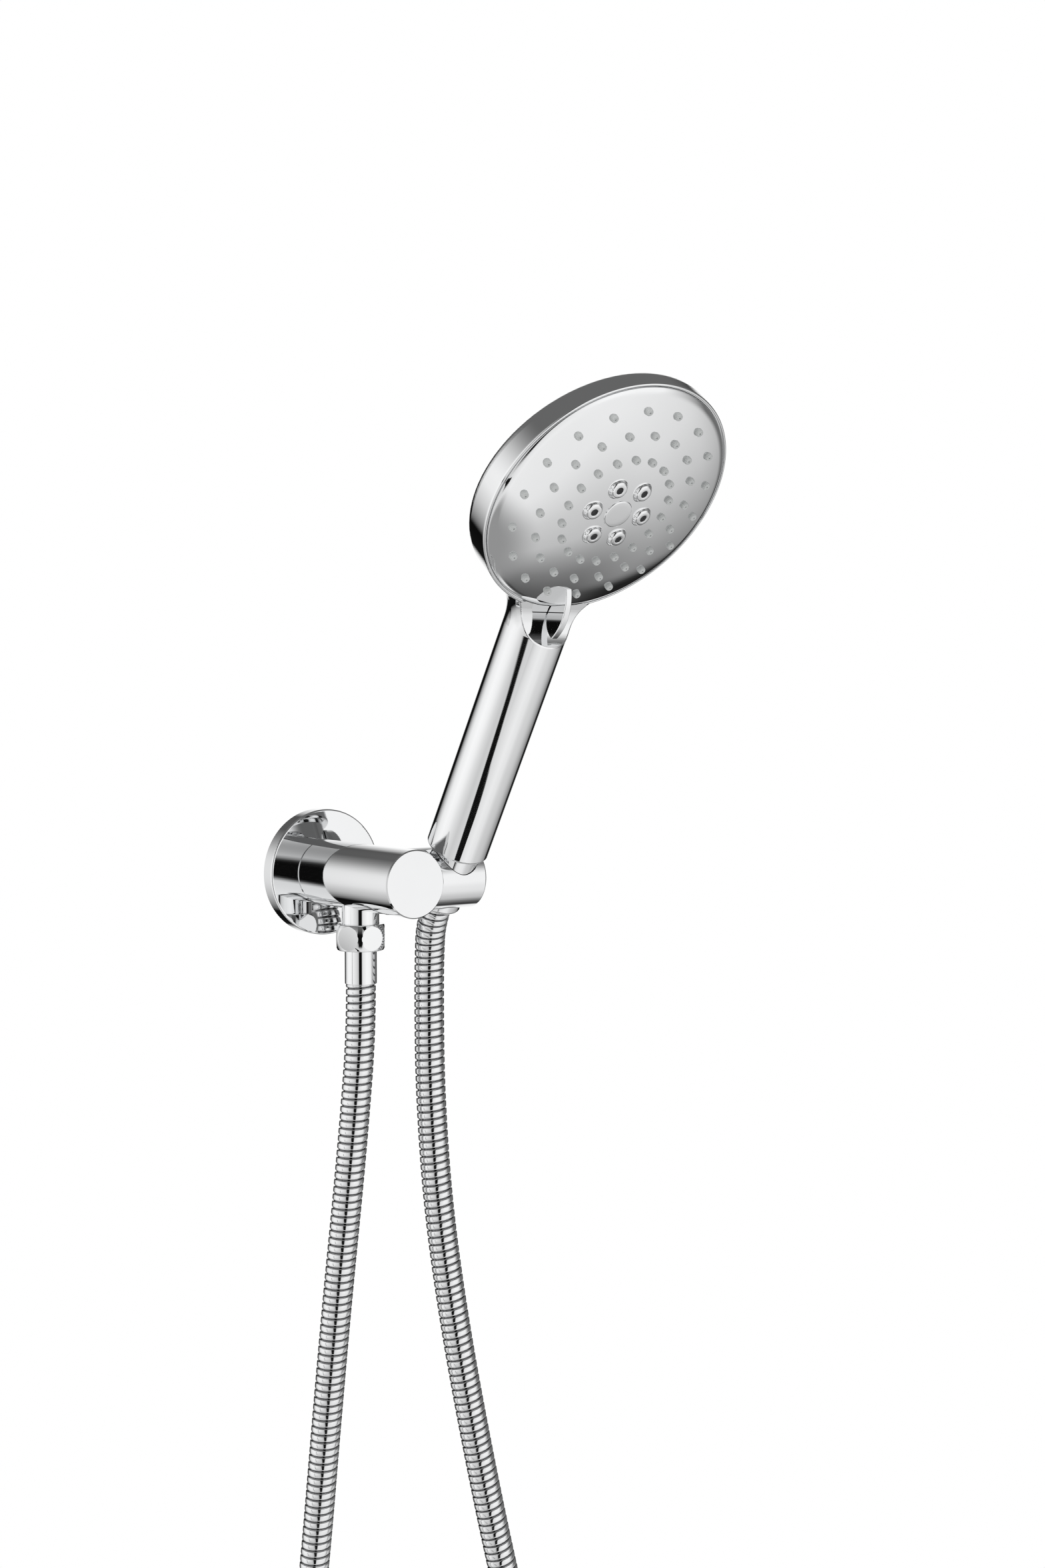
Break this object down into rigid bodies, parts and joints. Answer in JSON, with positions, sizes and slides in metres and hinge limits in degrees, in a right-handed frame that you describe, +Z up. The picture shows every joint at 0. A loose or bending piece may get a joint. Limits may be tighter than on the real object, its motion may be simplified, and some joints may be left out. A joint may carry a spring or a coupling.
{
  "type": "handheld shower head",
  "caption": "Wall-mounted hand shower set: chrome outlet with a side holder arm, hanging metal hose and round handset whose nozzle face turns to select the spray.",
  "frame": {"origin": "centre of the wall flange's back face, on the supply nipple's axis, in the wall plane", "axes": "+Z up, -Y straight out of the wall into the room, +X towards the holder arm"},
  "size_m": [0.1286, 0.2265, 0.7842],
  "materials": {
    "chrome": "mirror plated",
    "hose_metal": "wound plated strip",
    "face_chrome": "plated plastic, mirror",
    "brass": "turned",
    "rubber": "moulded",
    "silicone": "translucent grey silicone",
    "white_plastic": "moulded",
    "steel": "bright"
  },
  "bodies": {
    "wall_outlet": {"wall_flange": "chrome", "flange_gasket": "rubber", "supply_nipple": "brass", "supply_washer": "rubber", "outlet_body": "chrome", "lock_screw": "steel", "holder_arm": "chrome", "outlet_stub": "chrome", "check_valve_cage": "white_plastic", "check_valve_spring": "steel", "hose_nut": "chrome", "hose_nut_washer": "rubber", "hose_wall_ferrule": "chrome", "shower_hose": "hose_metal"},
    "check_poppet": {"check_valve_poppet": "white_plastic"},
    "hose_end": {"hose_end_ferrule": "brass"},
    "handset": {"hose_cone_nut": "chrome", "cone_washer": "rubber", "inlet_spigot": "white_plastic", "flow_limiter": "white_plastic", "water_tube": "white_plastic", "handset_shell": "chrome", "chamber_plate": "white_plastic", "pivot_bolt": "steel", "detent_ball": "steel", "face_seal": "rubber"},
    "spray_selector": {"face_plate": "face_chrome", "nozzle_mat": "silicone", "jet_nozzles": "chrome", "centre_cap": "chrome", "selector_fin": "chrome", "diverter_disc": "white_plastic"}
  },
  "joints": [
    {"name": "check_valve_slide", "type": "slide", "parent": "wall_outlet", "child": "check_poppet", "axis": [0, 0, -1], "range_m": [0, 0.0025], "stiffness_N_per_m": 150, "springref_m": -0.002, "deforming": ["check_valve_spring"]},
    {"name": "handset_lift", "type": "slide", "parent": "wall_outlet", "child": "hose_end", "axis": [0, -0.5075, 0.8616], "range_m": [0, 0.04]},
    {"name": "handset_swivel", "type": "hinge", "parent": "hose_end", "child": "handset", "pos_m": [0.0266, -0.0656, 0.0006], "axis": [0, -0.5075, 0.8616], "continuous": true},
    {"name": "spray_select", "type": "hinge", "parent": "handset", "child": "spray_selector", "pos_m": [0.0266, -0.17708, 0.15893], "axis": [0, -0.7581, -0.6521], "range_deg": [-12, 12]}
  ]
}
